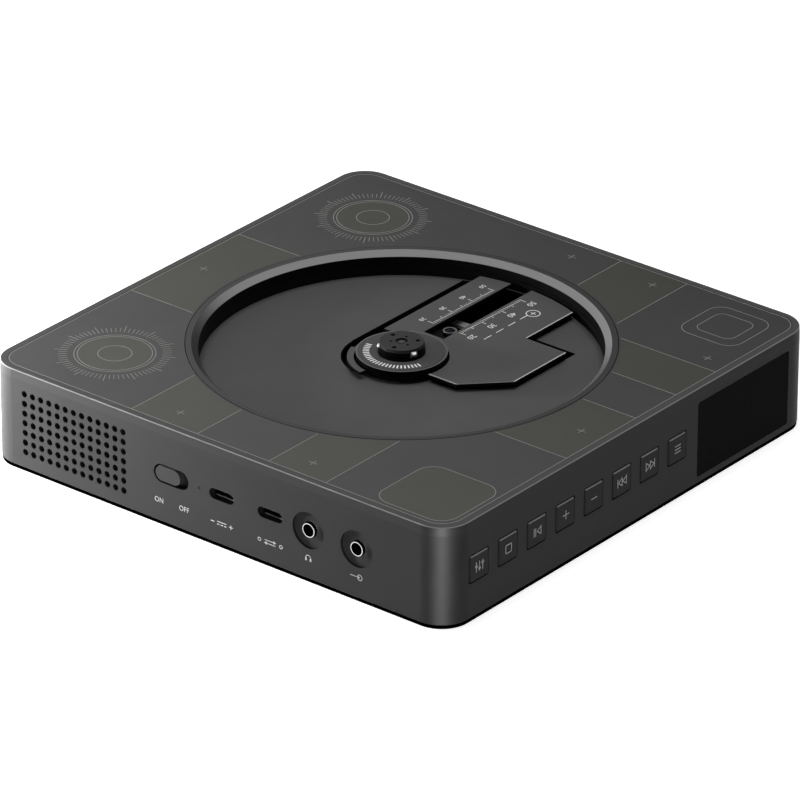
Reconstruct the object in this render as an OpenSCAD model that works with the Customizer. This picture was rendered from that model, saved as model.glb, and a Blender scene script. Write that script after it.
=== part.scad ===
// Wall mounted disc player, lying on its back: the disc side faces +Z, the sockets face -Y and
// the keys face +X. On a wall the key side is uppermost. Millimetres.

/* [Case] */
// Width and depth of the square case
case_w = 180.8; // [178:0.2:186]
// Height from the feet to the disc face
case_h = 33.8; // [33.8:0.2:36]
// Radius of the four upright corners
corner_r = 10; // [9:0.5:12]
// Thickness of the side walls
wall = 2.2; // [2:0.1:2.4]
// Width of the plain rim round the inlaid top panel
rim_w = 2.4; // [2.3:0.1:3.5]
// Thickness of the inlaid top panel
panel_t = 0.8; // [0.6:0.1:1]

/* [Disc well] */
// Radius of the well that a 120 mm disc drops into
well_r = 62.7; // [62:0.1:63]
// Radius of the metal ring that edges the well
ring_r = 66.6; // [66:0.1:67]
// Depth of the well's floor below the disc face
well_depth = 8.1; // [7.9:0.1:8.3]
// Depth of the mechanism cover below the disc face
cover_depth = 5.4; // [5.2:0.1:5.6]
// Depth of the disc's seat below the disc face
seat_depth = 3.6; // [3.4:0.1:3.7]

/* [Turntable] */
// Radius of the turntable
table_r = 14.2; // [13.8:0.1:14.2]
// Radius of the hub that centres the disc's 15 mm hole
hub_r = 7.4; // [7.35:0.01:7.45]
// Diameter of the spindle motor
spindle_motor_d = 24.4; // [22:0.2:24.6]

/* [Pickup] */
// Distance of the lens from the spindle at the first track
lens_y = 23.8; // [23.6:0.1:24]
// Radius of the lens and its rim
lens_r = 2.2; // [2:0.1:2.2]
// Travel of the sled from the first track to the last
sled_travel = 34.2; // [33:0.1:34.2]

/* [Keys] */
// Side of the square key caps
key_w = 8.7; // [8.4:0.1:8.8]
// Gap round each key cap in its hole
key_gap = 0.4; // [0.25:0.05:0.6]
// Distance from one key to the next
key_pitch = 13.81; // [13.6:0.01:13.9]
// How far the key caps stand out of the side
key_proud = 0.3; // [0.3:0.1:0.8]
// Travel of a key
key_travel = 0.4; // [0.2:0.1:0.4]

/* [Sockets] */
// Radius of the bore of the two 3.5 mm jacks
jack_bore_r = 1.8; // [1.76:0.01:1.84]
// Outer radius of the jack barrels
barrel_r = 2.3; // [2.26:0.01:2.4]
// Diameter of the dish round each jack
jack_dish_d = 12.2; // [11:0.05:12.4]
// Diameter of the speaker holes
grille_d = 2.17; // [1.8:0.01:2.3]

/* [Hidden] */
$fn = 64;
cut = 1;

half = case_w / 2;
wall_in = half - wall;
base_z = 1;
deck_z = case_h - 2.4;
panel_z = case_h - panel_t;
ring_seat_z = case_h - 1.8;
skirt_z = case_h - 4.5;
floor_z = case_h - well_depth;
floor_t = 1.5;
cover_z = case_h - cover_depth;
cover_t = 1;
seat_z = case_h - seat_depth;
claw_z = case_h - 1.8;
back_z = 0.6;
back_t = 2.2;
back_top = back_z + back_t;

// Mechanism levels
deck_low = 18;
deck_t = 1.8;
deck_top = deck_low + deck_t;
rod_z = 15.4;
rod_r = 1.5;
screw_z = 13;
screw_r = 1.5;
rod_x = 19;
screw_x = -12.5;
lug_y0 = 12;
window_y0 = 15;
sled_y1 = 38;
lug_t = 3;
window_y1 = sled_y1 + sled_travel + 2.3;
lug_y1 = window_y1 + lug_t;
shaft_r = 1;
table_low = seat_z - 3.3;
fit = 0.05;
snug = 0.02;

// Places on the port side, as x, with the height of the row of ports
port_z = 17.6;
switch_x = -16.1;
switch_slot = [13.8, 6.3];
knob_size = [9.75, 5.05];
knob_x = -17.4;
led_x = -4.95;
usb_xs = [3.8, 22.75];
usb_slot = [9.7, 3.6];
usb_setback = 2.3;
jack_xs = [37.55, 56.05];
jack_z = 17.35;
grille_x0 = -75;
grille_z0 = 26.6;
grille_pitch = 3.32;
grille_cols = 13;
grille_rows = 7;
grille_mid = [grille_x0 + (grille_cols - 1) / 2 * grille_pitch,
    grille_z0 - (grille_rows - 1) / 2 * grille_pitch];

// Places on the key side, as y
key_y0 = -75.4;
key_z = 17.45;
key_count = 8;
function key_y(i) = key_y0 + i * key_pitch;
key_board_ys = [for (i = [0, 3, 6]) key_y(i) + key_pitch / 2];
key_board_z = 25;
screen_mid = [54.98, 16.08];
screen_size = [46.55, 25.45];
screen_corner_r = 1;
glass_t = 1.2;

// Fixings
case_screw_xy = [[76, 76], [-76, 76], [76, -76], [-76, -70]];
foot_xy = [for (sx = [-1, 1], sy = [-1, 1]) [sx * 64, sy * 78]];
foot_r = 5;
tray_ear_r = 70;
damper_xy = [[-29, -16], [42, -16], [-29, 50], [43, 41]];
keyhole_y = 50;
keyhole_x = 52;
keyhole_r = 4.5;
keyhole_slot_w = 4.6;
keyhole_rise = 10;
board_post_xy = [[-30, -54], [40, -54], [-30, 58], [40, 58]];
claw_turns = [-18, 102, 222];

// A square block with round upright corners. The profile lists [inset, height] from the bottom up.
module slab(width, radius, profile) {
    run = width - 2 * radius;
    last = len(profile) - 1;
    right = [for (p = profile) [width / 2 - p[0], p[1]]];
    left = [for (i = [last:-1:0]) [profile[i][0] - width / 2, profile[i][1]]];
    for (turn = [0, 90]) rotate([90, 0, turn])
        linear_extrude(height = run, center = true) polygon(concat(right, left));
    for (sx = [-1, 1], sy = [-1, 1]) translate([sx * run / 2, sy * run / 2, 0])
        rotate_extrude() polygon(concat(
            [[0, profile[0][1]]], [for (p = profile) [radius - p[0], p[1]]], [[0, profile[last][1]]]));
}

// A bar with round ends, lying along X, its length and height in the plane of the port side
module port_pill(size, y0, y1) {
    reach = (size[0] - size[1]) / 2;
    for (side = [-1, 1]) translate([side * reach, y1, 0]) rotate([90, 0, 0])
        cylinder(r = size[1] / 2, h = y1 - y0);
    translate([-reach, y0, -size[1] / 2]) cube([2 * reach, y1 - y0, size[1]]);
}

// A rounded rectangle in the plane of the key side, from x0 to x1
module key_block(size, radius, x0, x1) {
    for (sy = [-1, 1], sz = [-1, 1])
        translate([x0, sy * (size[0] / 2 - radius), sz * (size[1] / 2 - radius)]) rotate([0, 90, 0])
            cylinder(r = radius, h = x1 - x0);
    translate([x0, -size[0] / 2, radius - size[1] / 2]) cube([x1 - x0, size[0], size[1] - 2 * radius]);
    translate([x0, radius - size[0] / 2, -size[1] / 2]) cube([x1 - x0, size[0] - 2 * radius, size[1]]);
}

module block(low, high) {
    translate(low) cube(high - low);
}

module ring(outer, inner, low, high) {
    difference() {
        translate([0, 0, low]) cylinder(r = outer, h = high - low);
        translate([0, 0, low - cut]) cylinder(r = inner, h = high - low + 2 * cut);
    }
}

module rod(radius, y0, y1) {
    translate([0, y1, 0]) rotate([90, 0, 0]) cylinder(r = radius, h = y1 - y0);
}

// A wedge of a ring between two angles
module ring_part(outer, inner, low, high, from, to) {
    reach = outer * 2;
    intersection() {
        ring(outer, inner, low, high);
        translate([0, 0, low - cut]) linear_extrude(height = high - low + 2 * cut)
            polygon([[0, 0], reach * [cos(from), sin(from)],
                reach * [cos((from + to) / 2), sin((from + to) / 2)], reach * [cos(to), sin(to)]]);
    }
}

// Case

module body_shell() {
    color("dimgray") difference() {
        union() {
            difference() {
                slab(case_w, corner_r, [[0.4, base_z], [0, base_z + 0.4], [0, case_h - 2.9],
                    [0.1, case_h - 0.25], [0.3, case_h]]);
                slab(2 * wall_in, corner_r - wall, [[0, base_z - cut], [0, deck_z]]);
            }
            translate([0, 0, skirt_z]) cylinder(r = well_r + 1.7, h = deck_z - skirt_z + 0.3);
            translate([0, 0, deck_z - 1.2]) cylinder(r = ring_r + 2.2, h = 1.5);
            for (p = case_screw_xy) translate([p[0], p[1], back_top])
                cylinder(r = 4, h = deck_z - back_top + 0.3);
            for (turn = [45:90:315]) rotate(turn) translate([tray_ear_r, 0, 26.2])
                cylinder(r = 3.4, h = deck_z - 26.2 + 0.3);
            for (y = key_board_ys) translate([82.5, y, key_board_z]) rotate([0, 90, 0])
                cylinder(r = 2, h = wall_in - 82.5 + 0.3);
        }
        slab(case_w - 2 * rim_w, corner_r - rim_w, [[0, panel_z], [0, case_h + cut]]);
        translate([0, 0, ring_seat_z]) cylinder(r = ring_r + 0.2, h = 3);
        translate([0, 0, skirt_z - cut]) cylinder(r = well_r, h = 6);
        for (p = case_screw_xy) translate([p[0], p[1], back_top - cut]) cylinder(r = 1.52, h = 14);
        for (turn = [45:90:315]) rotate(turn) translate([tray_ear_r, 0, 25]) cylinder(r = 1.22, h = 5.5);
        for (y = key_board_ys) translate([82, y, key_board_z]) rotate([0, 90, 0])
            cylinder(r = 0.82, h = 4.5);
        port_holes();
        key_side_holes();
    }
}

module port_holes() {
    y0 = -half - cut;
    y1 = -wall_in + cut;
    for (col = [0:grille_cols - 1], row = [0:grille_rows - 1])
        translate([grille_x0 + col * grille_pitch, 0, grille_z0 - row * grille_pitch])
            rod(grille_d / 2, y0, y1);
    translate([switch_x, 0, port_z]) port_pill(switch_slot, y0, y1);
    translate([led_x, 0, port_z]) rod(0.5, y0, y1);
    for (x = usb_xs) translate([x, 0, port_z]) port_pill(usb_slot, y0, y1);
    for (x = jack_xs) translate([x, 0, jack_z]) {
        rod(jack_dish_d / 2, y0, 1.1 - half);
        rod(barrel_r + 0.25, y0, y1);
    }
}

module key_side_holes() {
    for (i = [0:key_count - 1]) translate([0, key_y(i), key_z])
        key_block([key_w + 2 * key_gap, key_w + 2 * key_gap], 0.8, wall_in - cut, half + cut);
    translate([0, screen_mid[0], screen_mid[1]]) {
        key_block(screen_size, screen_corner_r, half - glass_t, half + cut);
        key_block([screen_size[0] - 4, screen_size[1] - 4], 1, wall_in - cut, half);
    }
}

module top_panel() {
    color([0.33, 0.33, 0.31]) difference() {
        slab(case_w - 2 * rim_w - 0.2, corner_r - rim_w - 0.1, [[0, panel_z], [0, case_h - 0.05]]);
        translate([0, 0, panel_z - cut]) cylinder(r = ring_r + 0.25, h = 3);
    }
}

// The bevel falls inwards to the well
module well_ring() {
    color("silver") rotate_extrude()
        polygon([[well_r, ring_seat_z], [well_r, ring_seat_z + 0.1], [well_r + 2.05, case_h],
            [ring_r, case_h], [ring_r, ring_seat_z]]);
}

module well_tray() {
    color([0.29, 0.29, 0.29]) difference() {
        union() {
            difference() {
                translate([0, 0, floor_z - floor_t])
                    cylinder(r = well_r + 1.6, h = skirt_z - 0.2 - floor_z + floor_t);
                translate([0, 0, floor_z]) cylinder(r = well_r, h = 10);
            }
            for (turn = [45:90:315]) rotate(turn)
                block([well_r + 1, -5, floor_z - floor_t], [tray_ear_r + 4, 5, 26.2]);
            for (p = damper_xy) translate([p[0], p[1], 21])
                cylinder(r = 3.5, h = floor_z - floor_t - 21 + 0.3);
        }
        mech_opening();
        for (turn = [45:90:315]) rotate(turn) translate([tray_ear_r, 0, 20]) cylinder(r = 1.4, h = 10);
        for (p = damper_xy) translate([p[0], p[1], 20]) cylinder(r = 1.22, h = 4);
    }
}

// The hole in the well's floor that the mechanism stands in
module mech_opening() {
    intersection() {
        translate([0, 0, 20]) cylinder(r = well_r - 0.5, h = 10);
        translate([0, 0, 20]) linear_extrude(height = 10)
            polygon([[-22.1, 2.6], [-22.1, 70], [21.5, 70], [21.5, 39.5], [37.2, 39.5], [37.2, 10],
                [24, -3.2], [6, -3.2]]);
    }
    translate([-5.2, 3, 20]) cylinder(r = 16.7, h = 10);
}

module keyhole_pocket(grow, low, high) {
    block([keyhole_x - 6 - grow, -6 - grow, low], [keyhole_x + keyhole_rise + 4 + grow, 6 + grow, high]);
}

module back_cover() {
    color([0.1, 0.1, 0.1]) difference() {
        union() {
            slab(2 * wall_in - 0.6, corner_r - wall - 0.3,
                [[0.5, back_z], [0, back_z + 0.5], [0, back_top]]);
            for (side = [-1, 1]) translate([0, side * keyhole_y, 0])
                keyhole_pocket(1.2, back_z + 1, back_top + 5.2);
            for (p = board_post_xy) translate([p[0], p[1], back_z + 1]) cylinder(r = 2.8, h = 3.4);
        }
        for (side = [-1, 1]) translate([0, side * keyhole_y, 0]) {
            keyhole_pocket(0, back_top, back_top + 4);
            translate([keyhole_x, 0, back_z - cut]) cylinder(r = keyhole_r, h = 4);
            translate([keyhole_x + keyhole_rise, 0, back_z - cut]) cylinder(r = keyhole_slot_w / 2, h = 4);
            block([keyhole_x, -keyhole_slot_w / 2, back_z - cut],
                [keyhole_x + keyhole_rise, keyhole_slot_w / 2, back_top + cut]);
        }
        for (p = case_screw_xy) translate([p[0], p[1], 0]) {
            cylinder(r = 1.7, h = 5);
            cylinder(r = 3, h = back_z + 1.2);
        }
        for (p = board_post_xy) translate([p[0], p[1], 2.2]) cylinder(r = 1.02, h = 5);
        for (p = foot_xy) translate([p[0], p[1], 0]) cylinder(r = foot_r + 0.05, h = back_z + 0.4);
    }
}

module feet() {
    color([0.15, 0.15, 0.15]) for (p = foot_xy) translate([p[0], p[1], 0])
        cylinder(r = foot_r, h = back_z + 0.4);
}

module case_screws() {
    color("dimgray") for (p = case_screw_xy) translate([p[0], p[1], 0]) difference() {
        union() {
            translate([0, 0, back_z + 0.1]) cylinder(r = 2.8, h = 1.1);
            translate([0, 0, back_z + 1.1]) cylinder(r = 1.5, h = 11);
        }
        for (turn = [0, 90]) rotate(turn) block([-1.4, -0.25, 0], [1.4, 0.25, back_z + 0.7]);
    }
}

module tray_screws() {
    color("silver") for (turn = [45:90:315]) rotate(turn) translate([tray_ear_r, 0, 0]) {
        translate([0, 0, floor_z - floor_t - 1.6]) cylinder(r = 2.3, h = 1.6);
        translate([0, 0, floor_z - floor_t - 0.1]) cylinder(r = 1.2, h = 5.5);
    }
}

// Keys and screen

module key(i) {
    color([0.17, 0.17, 0.17]) translate([0, key_y(i), key_z]) {
        key_block([key_w, key_w], 0.6, wall_in - 0.6, half + key_proud - 0.3);
        key_block([key_w - 0.5, key_w - 0.5], 0.4, half + key_proud - 0.4, half + key_proud);
        key_block([key_w + 1.7, key_w + 1.7], 0.8, wall_in - 1, wall_in - 0.2);
        translate([83.8 + key_travel, 0, 0]) rotate([0, 90, 0])
            cylinder(r = 1.5, h = wall_in - 84.6 - key_travel);
    }
}

module key_eq() { key(0); }
module key_stop() { key(1); }
module key_play() { key(2); }
module key_plus() { key(3); }
module key_minus() { key(4); }
module key_next() { key(5); }
module key_previous() { key(6); }
module key_menu() { key(7); }

module button_board() {
    color("darkgreen") difference() {
        block([81.3, -82, 9.5], [82.5, 29.5, 28]);
        for (y = key_board_ys) translate([80, y, key_board_z]) rotate([0, 90, 0]) cylinder(r = 1, h = 4);
    }
}

module tact_switches() {
    color("silver") for (i = [0:key_count - 1]) translate([0, key_y(i), key_z]) difference() {
        block([82.5, -2.6, -2.6], [85, 2.6, 2.6]);
        translate([83.6, 0, 0]) rotate([0, 90, 0]) cylinder(r = 1.9, h = 3);
    }
}

module board_screws() {
    color("silver") {
        for (y = key_board_ys) translate([0, y, key_board_z]) rotate([0, 90, 0]) {
            translate([0, 0, 80.2]) cylinder(r = 1.6, h = 1.1);
            translate([0, 0, 81.2]) cylinder(r = 0.8, h = 4.8);
        }
        for (p = board_post_xy) translate([p[0], p[1], 0]) {
            translate([0, 0, 6.6]) cylinder(r = 1.9, h = 1.2);
            translate([0, 0, 2.6]) cylinder(r = 1, h = 4.1);
        }
    }
}

module screen_glass() {
    color([0.05, 0.05, 0.05]) translate([0, screen_mid[0], screen_mid[1]])
        key_block([screen_size[0] - 0.2, screen_size[1] - 0.2], screen_corner_r - 0.1,
            half - glass_t, half);
}

module display_module() {
    color([0.2, 0.2, 0.22]) translate([0, screen_mid[0], screen_mid[1]]) {
        block([half - glass_t - 1.6, -19.5, -9.2], [half - glass_t, 19.5, 9.2]);
        block([half - glass_t - 3, -16, -7], [half - glass_t - 1.5, 16, 7]);
    }
}

// Ports

module switch_knob() {
    color([0.36, 0.36, 0.36]) translate([knob_x, 0, port_z]) {
        port_pill(knob_size, -half, 0.4 - wall_in);
        port_pill([knob_size[0] + 5.4, knob_size[1] + 2.6], 0.2 - wall_in, 0.9 - wall_in);
        block([-1, 0.8 - wall_in, -1], [1, -82.6, 1]);
    }
}

module switch_body() {
    color("silver") translate([switch_x, 0, 0]) difference() {
        block([-8.5, -84.6, 16], [8.5, -78.4, 20.6]);
        block([-4, -85.6, port_z - 1.3], [4, -82, port_z + 1.3]);
    }
}

module light_pipe() {
    color([0.9, 0.95, 0.9]) translate([led_x, 0, 0]) {
        translate([0, 0, port_z]) rod(0.46, 0.3 - half, -86.9);
        block([-1.6, 0.3 - wall_in, 16], [1.6, -84, 19.2]);
    }
}

module usb_socket(x) {
    color("silver") translate([x, 0, port_z]) difference() {
        port_pill([8.94, 3.2], usb_setback - half, -81);
        port_pill([8.34, 2.6], -half, -82);
    }
}

module usb_power_socket() { usb_socket(usb_xs[0]); }
module usb_data_socket() { usb_socket(usb_xs[1]); }

module usb_tongues() {
    color([0.12, 0.12, 0.12]) for (x = usb_xs) translate([x, 0, port_z])
        block([-3.2, usb_setback + 0.8 - half, -0.35], [3.2, -82, 0.35]);
}

module jack_barrel(x) {
    color("silver") translate([x, 0, jack_z]) difference() {
        rod(barrel_r, 0.1 - half, -74.1);
        rod(jack_bore_r, -wall_in, -74.9);
        rod(jack_bore_r + 0.25, -half, 1 - wall_in);
    }
}

module headphone_jack() { jack_barrel(jack_xs[0]); }
module line_jack() { jack_barrel(jack_xs[1]); }

module jack_bodies() {
    color([0.08, 0.08, 0.08]) for (x = jack_xs) translate([x, 0, jack_z]) difference() {
        block([-6, 0.4 - wall_in, -2.9], [6, -72.7, 2.9]);
        rod(barrel_r + 0.02, -half, -74);
    }
}

module io_board() {
    color("darkgreen") difference() {
        block([-27, -86.6, 14.6], [66, -64, 16]);
        for (x = jack_xs) block([x - 6.3, -88, 14], [x + 6.3, -72.4, 17]);
        for (x = usb_xs) block([x - 4.6, -88, 15.98], [x + 4.6, -80.9, 17]);
    }
}

// Speaker

module grille_cloth() {
    color([0.06, 0.06, 0.06]) translate([grille_mid[0], 0, grille_mid[1]])
        block([-22.4, -wall_in, -11.4], [22.4, 0.4 - wall_in, 11.4]);
}

module speaker_frame() {
    color([0.12, 0.12, 0.12]) translate([grille_mid[0], 0, grille_mid[1]]) difference() {
        block([-22.4, 0.4 - wall_in, -11.4], [22.4, -79.6, 11.4]);
        port_pill([41, 19.4], -half, -83.4);
        rod(7.62, -84, -79);
    }
}

module speaker_cone() {
    color([0.1, 0.1, 0.1]) translate([grille_mid[0], 0, grille_mid[1]]) {
        difference() {
            union() {
                port_pill([40.2, 18.6], -86, -85.4);
                rod(5.6, -85.5, -84.9);
            }
            rod(4.4, -86.5, -84.8);
        }
        difference() {
            rod(5, -85.1, -81.2);
            rod(4.7, -85, -81);
        }
    }
}

module speaker_magnet() {
    color("silver") translate([grille_mid[0], 0, grille_mid[1]]) {
        difference() {
            rod(7.6, -83.8, -79.4);
            rod(5.4, -84, -80.6);
        }
        rod(4.3, -83.8, -80.4);
    }
}

// Disc mechanism

// Outline of the cover over the mechanism
cover_points = [[-16.3, 11.4], [-16.3, 70], [22.1, 70], [22.1, 34], [37.7, 34], [37.7, 8.2], [25, -4.5],
    [10, -4.5], [-9, 11.4]];
slot_x = [-5.4, 2.6];

module mech_cover() {
    color([0.31, 0.31, 0.31]) {
        difference() {
            intersection() {
                translate([0, 0, cover_z - cover_t]) linear_extrude(height = cover_t) polygon(cover_points);
                translate([0, 0, cover_z - 3]) cylinder(r = well_r - 1.1, h = 6);
            }
            translate([0, 0, cover_z - 3]) cylinder(r = table_r + 0.6, h = 6);
            block([slot_x[0], 17.5, cover_z - 3], [slot_x[1], well_r, cover_z + 3]);
        }
        ring_part(table_r + 1.6, table_r + 0.6, cover_z - cover_t, cover_z, 138, 200);
        ring_part(table_r + 2.7, table_r + 0.6, cover_z - cover_t, cover_z, 196, 260);
    }
}

// Low walls that carry the cover, standing on the chassis
rim_points = [[15.2, -2.2], [23.7, -2.2], [36.2, 10.3], [36.2, 32.6], [20.6, 32.6], [20.6, 56],
    [19.2, 56], [19.2, 31.2], [34.8, 31.2], [34.8, 10.9], [23.1, -0.8], [15.2, -0.8]];

module chassis_lug(x, z, radius, low, y0, y1) {
    difference() {
        block([x - 3, y0, low], [x + 3, y1, deck_low + 0.2]);
        translate([x, 0, z]) rod(radius, y0 - cut, y1 + cut);
    }
}

module mech_chassis() {
    rim_top = cover_z - cover_t;
    color([0.14, 0.14, 0.14]) {
        difference() {
            union() {
                block([-35, -22, deck_low], [49, 56, deck_top]);
                block([-24, 50, deck_low], [24, 79, deck_top]);
                translate([0, 0, deck_top - 0.2]) linear_extrude(height = rim_top - deck_top + 0.2)
                    polygon(rim_points);
                block([-14.9, 8.5, deck_top - 0.2], [-13.5, 56, rim_top]);
                ring_part(15.9, 14.9, deck_top - 0.2, rim_top, 200, 226);
            }
            translate([0, 0, deck_low - cut]) cylinder(r = 4.5, h = 5);
            block([-11.6, window_y0, deck_low - cut], [10.6, window_y1, deck_top + cut]);
            for (p = damper_xy) translate([p[0], p[1], deck_low - cut]) cylinder(r = 3.35, h = 5);
        }
        for (y = [lug_y0, window_y1]) {
            for (side = [-1, 1]) chassis_lug(side * rod_x, rod_z, rod_r + snug, 12.6, y, y + lug_t);
            chassis_lug(screw_x, screw_z, screw_r + fit, 10.4, y, y + lug_t);
        }
    }
}

module mech_dampers() {
    color([0.2, 0.2, 0.2]) for (p = damper_xy) translate([p[0], p[1], 0]) difference() {
        union() {
            translate([0, 0, deck_low - 1.2]) cylinder(r = 4.6, h = 1.2);
            translate([0, 0, deck_low - 0.1]) cylinder(r = 3.3, h = deck_t + 0.2);
            translate([0, 0, deck_top]) cylinder(r = 4.6, h = 21 - deck_top);
        }
        translate([0, 0, 10]) cylinder(r = 1.3, h = 15);
    }
}

module mech_screws() {
    color("silver") for (p = damper_xy) translate([p[0], p[1], 0]) {
        translate([0, 0, deck_low - 2.8]) cylinder(r = 2.7, h = 1.6);
        translate([0, 0, deck_low - 1.3]) cylinder(r = 1.2, h = 7);
    }
}

module spindle_motor() {
    color("silver") difference() {
        union() {
            translate([0, 0, 7.8]) cylinder(d = spindle_motor_d, h = deck_low - 7.8);
            translate([0, 0, deck_low - 0.1]) cylinder(r = 4, h = 1.7);
        }
        translate([0, 0, 9]) cylinder(r = shaft_r + fit, h = 20);
    }
}

module spindle_shaft() {
    color("silver") translate([0, 0, 9.2]) cylinder(r = shaft_r, h = case_h - 0.4 - 9.2);
}

module turntable() {
    color([0.3, 0.3, 0.3]) difference() {
        union() {
            translate([0, 0, table_low]) cylinder(r = table_r, h = seat_z - 0.1 - table_low);
            translate([0, 0, deck_top + 2]) cylinder(r = 4, h = table_low - deck_top - 1.9);
            translate([0, 0, seat_z - 0.5]) cylinder(r = hub_r, h = 1.3);
            translate([0, 0, seat_z]) cylinder(r = hub_r - 0.25, h = case_h - 1 - seat_z);
            translate([0, 0, case_h - 1]) cylinder(r1 = hub_r - 0.25, r2 = hub_r - 0.5, h = 0.9);
        }
        ring(13.3, hub_r + 0.6, seat_z - 0.4, seat_z + cut);
        translate([0, 0, 15]) cylinder(r = shaft_r + snug, h = 30);
        for (turn = claw_turns) rotate(turn)
            block([3.4, -1.5, claw_z - 1.2], [hub_r + 1, 1.5, claw_z + 1.2]);
        translate([0, 0, case_h - 0.7]) cylinder(r = 2, h = 2);
        for (turn = claw_turns) rotate(turn) translate([3.3, 0, claw_z + 0.5]) cylinder(r = 0.45, h = 3);
        for (turn = claw_turns) rotate(turn + 60) translate([5, 0, case_h - 0.9]) cylinder(r = 0.75, h = 2);
    }
}

module turntable_pad() {
    color([0.22, 0.22, 0.22]) ring(13.3, hub_r + 0.6, seat_z - 0.4, seat_z);
}

module hub_claw(turn) {
    color("silver") rotate(turn) translate([0, 0, claw_z]) {
        block([4.6, -1.2, -0.9], [hub_r - 0.5, 1.2, 0.9]);
        translate([hub_r - 0.55, 0, 0]) sphere(r = 0.95, $fn = 32);
    }
}

module hub_claw_1() { hub_claw(claw_turns[0]); }
module hub_claw_2() { hub_claw(claw_turns[1]); }
module hub_claw_3() { hub_claw(claw_turns[2]); }

// Pickup

sled_top = 22.4;

module pickup_sled() {
    color([0.16, 0.16, 0.17]) difference() {
        union() {
            block([-10.6, 16.8, 13.6], [9.6, sled_y1, sled_top]);
            block([9.4, 18, 13.9], [rod_x, 36, 16.9]);
            translate([rod_x, 0, rod_z]) rod(2.2, 18, 36);
            block([-21.8, 26, 13.2], [-10.4, 31, 17.4]);
            block([-15.4, 19, 10.4], [-10.4, 24, 16.4]);
        }
        translate([rod_x, 0, rod_z]) rod(rod_r + fit, 10, 45);
        translate([-rod_x, 0, rod_z]) rod(rod_r + fit, 20, 40);
        block([-23, 20, rod_z - rod_r - fit], [-rod_x, 40, rod_z + rod_r + fit]);
        translate([screw_x, 0, screw_z]) rod(screw_r + fit, 10, 24.5);
        block([-15.6, 24.4, 10], [-10.6, 38.4, 14.8]);
        block([-4.2, lens_y - 3, sled_top - 4], [4.2, lens_y + 3, sled_top + cut]);
        translate([4, 32, 18.4]) rotate([0, 90, 0]) cylinder(r = 2.82, h = 10);
        translate([screw_x, 0, screw_z]) rod(screw_r + 0.4, 24, 45);
    }
}

// Steel frame of the lens actuator, with a folded leaf behind it
module actuator_yoke() {
    color("gray") difference() {
        union() {
            block([-7.8, 20.2, sled_top], [7.8, 36, sled_top + 0.8]);
            for (side = [-1, 1]) translate([side * 7.2, 0, 0])
                block([-0.6, 20.4, sled_top], [0.6, 26.6, 26.4]);
            block([-8.4, 35, sled_top], [-2.6, sled_y1, sled_top + 1.4]);
        }
        block([-4.2, lens_y - 3, sled_top - cut], [4.2, lens_y + 3, sled_top + 2]);
    }
}

module actuator_magnets() {
    color("silver") for (side = [-1, 1]) translate([side * 5.8, 0, 0])
        block([-0.8, 21, sled_top + 0.8], [0.8, 26.2, 26]);
}

module lens_holder() {
    color([0.1, 0.1, 0.1]) difference() {
        union() {
            block([-4.4, 20.6, 24.2], [4.4, 27, 26.7]);
            translate([0, lens_y, 26.6]) cylinder(r = lens_r, h = 1.6);
        }
        translate([0, lens_y, 20]) cylinder(r = 1.5, h = 6.8);
        translate([0, lens_y, 26.7]) cylinder(r = 1.75, h = 3);
    }
}

module pickup_lens() {
    color([0.3, 0.35, 0.5]) intersection() {
        translate([0, lens_y, 26.7]) cylinder(r = 1.73, h = 3);
        translate([0, lens_y, 25]) sphere(r = 3.3);
    }
}

module laser_diode() {
    color("goldenrod") translate([0, 32, 18.4]) rotate([0, 90, 0]) {
        translate([0, 0, 4.2]) cylinder(r = 2.8, h = 5.2);
        translate([0, 0, 9.3]) cylinder(r = 1.6, h = 0.9);
    }
}

module guide_rods() {
    color("silver") for (side = [-1, 1]) translate([side * rod_x, 0, rod_z]) rod(rod_r, lug_y0, lug_y1);
}

module lead_screw() {
    thread = 2.4;
    core = 1.15;
    color("silver") translate([screw_x, 0, screw_z]) {
        rod(core, lug_y0, 80.2);
        rod(screw_r, lug_y0, 17.4);
        rod(screw_r, 73.2, 80.2);
        for (y = [17.8:thread:72.8]) rod(screw_r, y, y + thread / 2);
    }
}

module sled_motor() {
    color("silver") translate([screw_x, 0, screw_z]) difference() {
        rod(4.8, lug_y1, 85.6);
        rod(screw_r + fit, 70, 80.6);
    }
}

// Electronics

module main_board() {
    color("darkgreen") difference() {
        block([-34, -58, 5], [44, 62, 6.6]);
        for (p = board_post_xy) translate([p[0], p[1], 0]) cylinder(r = 1.1, h = 10);
    }
}

module board_chips() {
    color([0.1, 0.1, 0.1]) {
        block([18, 20, 6.6], [34, 36, 8]);
        block([-26, 20, 6.6], [-14, 29, 7.8]);
        block([20, -40, 6.6], [29, -31, 7.7]);
        block([-22, -36, 6.6], [-12, -30, 8]);
        for (x = [-8:7:6]) translate([x, -44, 6.6]) cylinder(r = 2.6, h = 4.8);
    }
}

module battery() {
    color([0.75, 0.76, 0.78]) block([-80, -42, back_top], [-38.5, 42, 12]);
}

module board_connectors() {
    color("ivory") {
        block([38, 0, 6.6], [43.4, 14, 8.6]);
        block([-6, -57.4, 6.6], [8, -52.4, 8.6]);
        block([77.3, 0, 10.5], [81.3, 14, 13]);
        block([-6, -69, 12], [8, -64.2, 14.6]);
    }
}

module flat_cables() {
    color([0.85, 0.85, 0.82]) {
        block([43.4, 1, 7.4], [75.2, 13, 7.8]);
        block([74.8, 1, 7.4], [75.2, 13, 12]);
        block([74.8, 1, 11.6], [77.3, 13, 12]);
        block([-5, -62, 7.4], [7, -57.4, 7.8]);
        block([-5, -62, 7.4], [7, -61.6, 13.4]);
        block([-5, -64.2, 13], [7, -61.6, 13.4]);
    }
}

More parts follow.
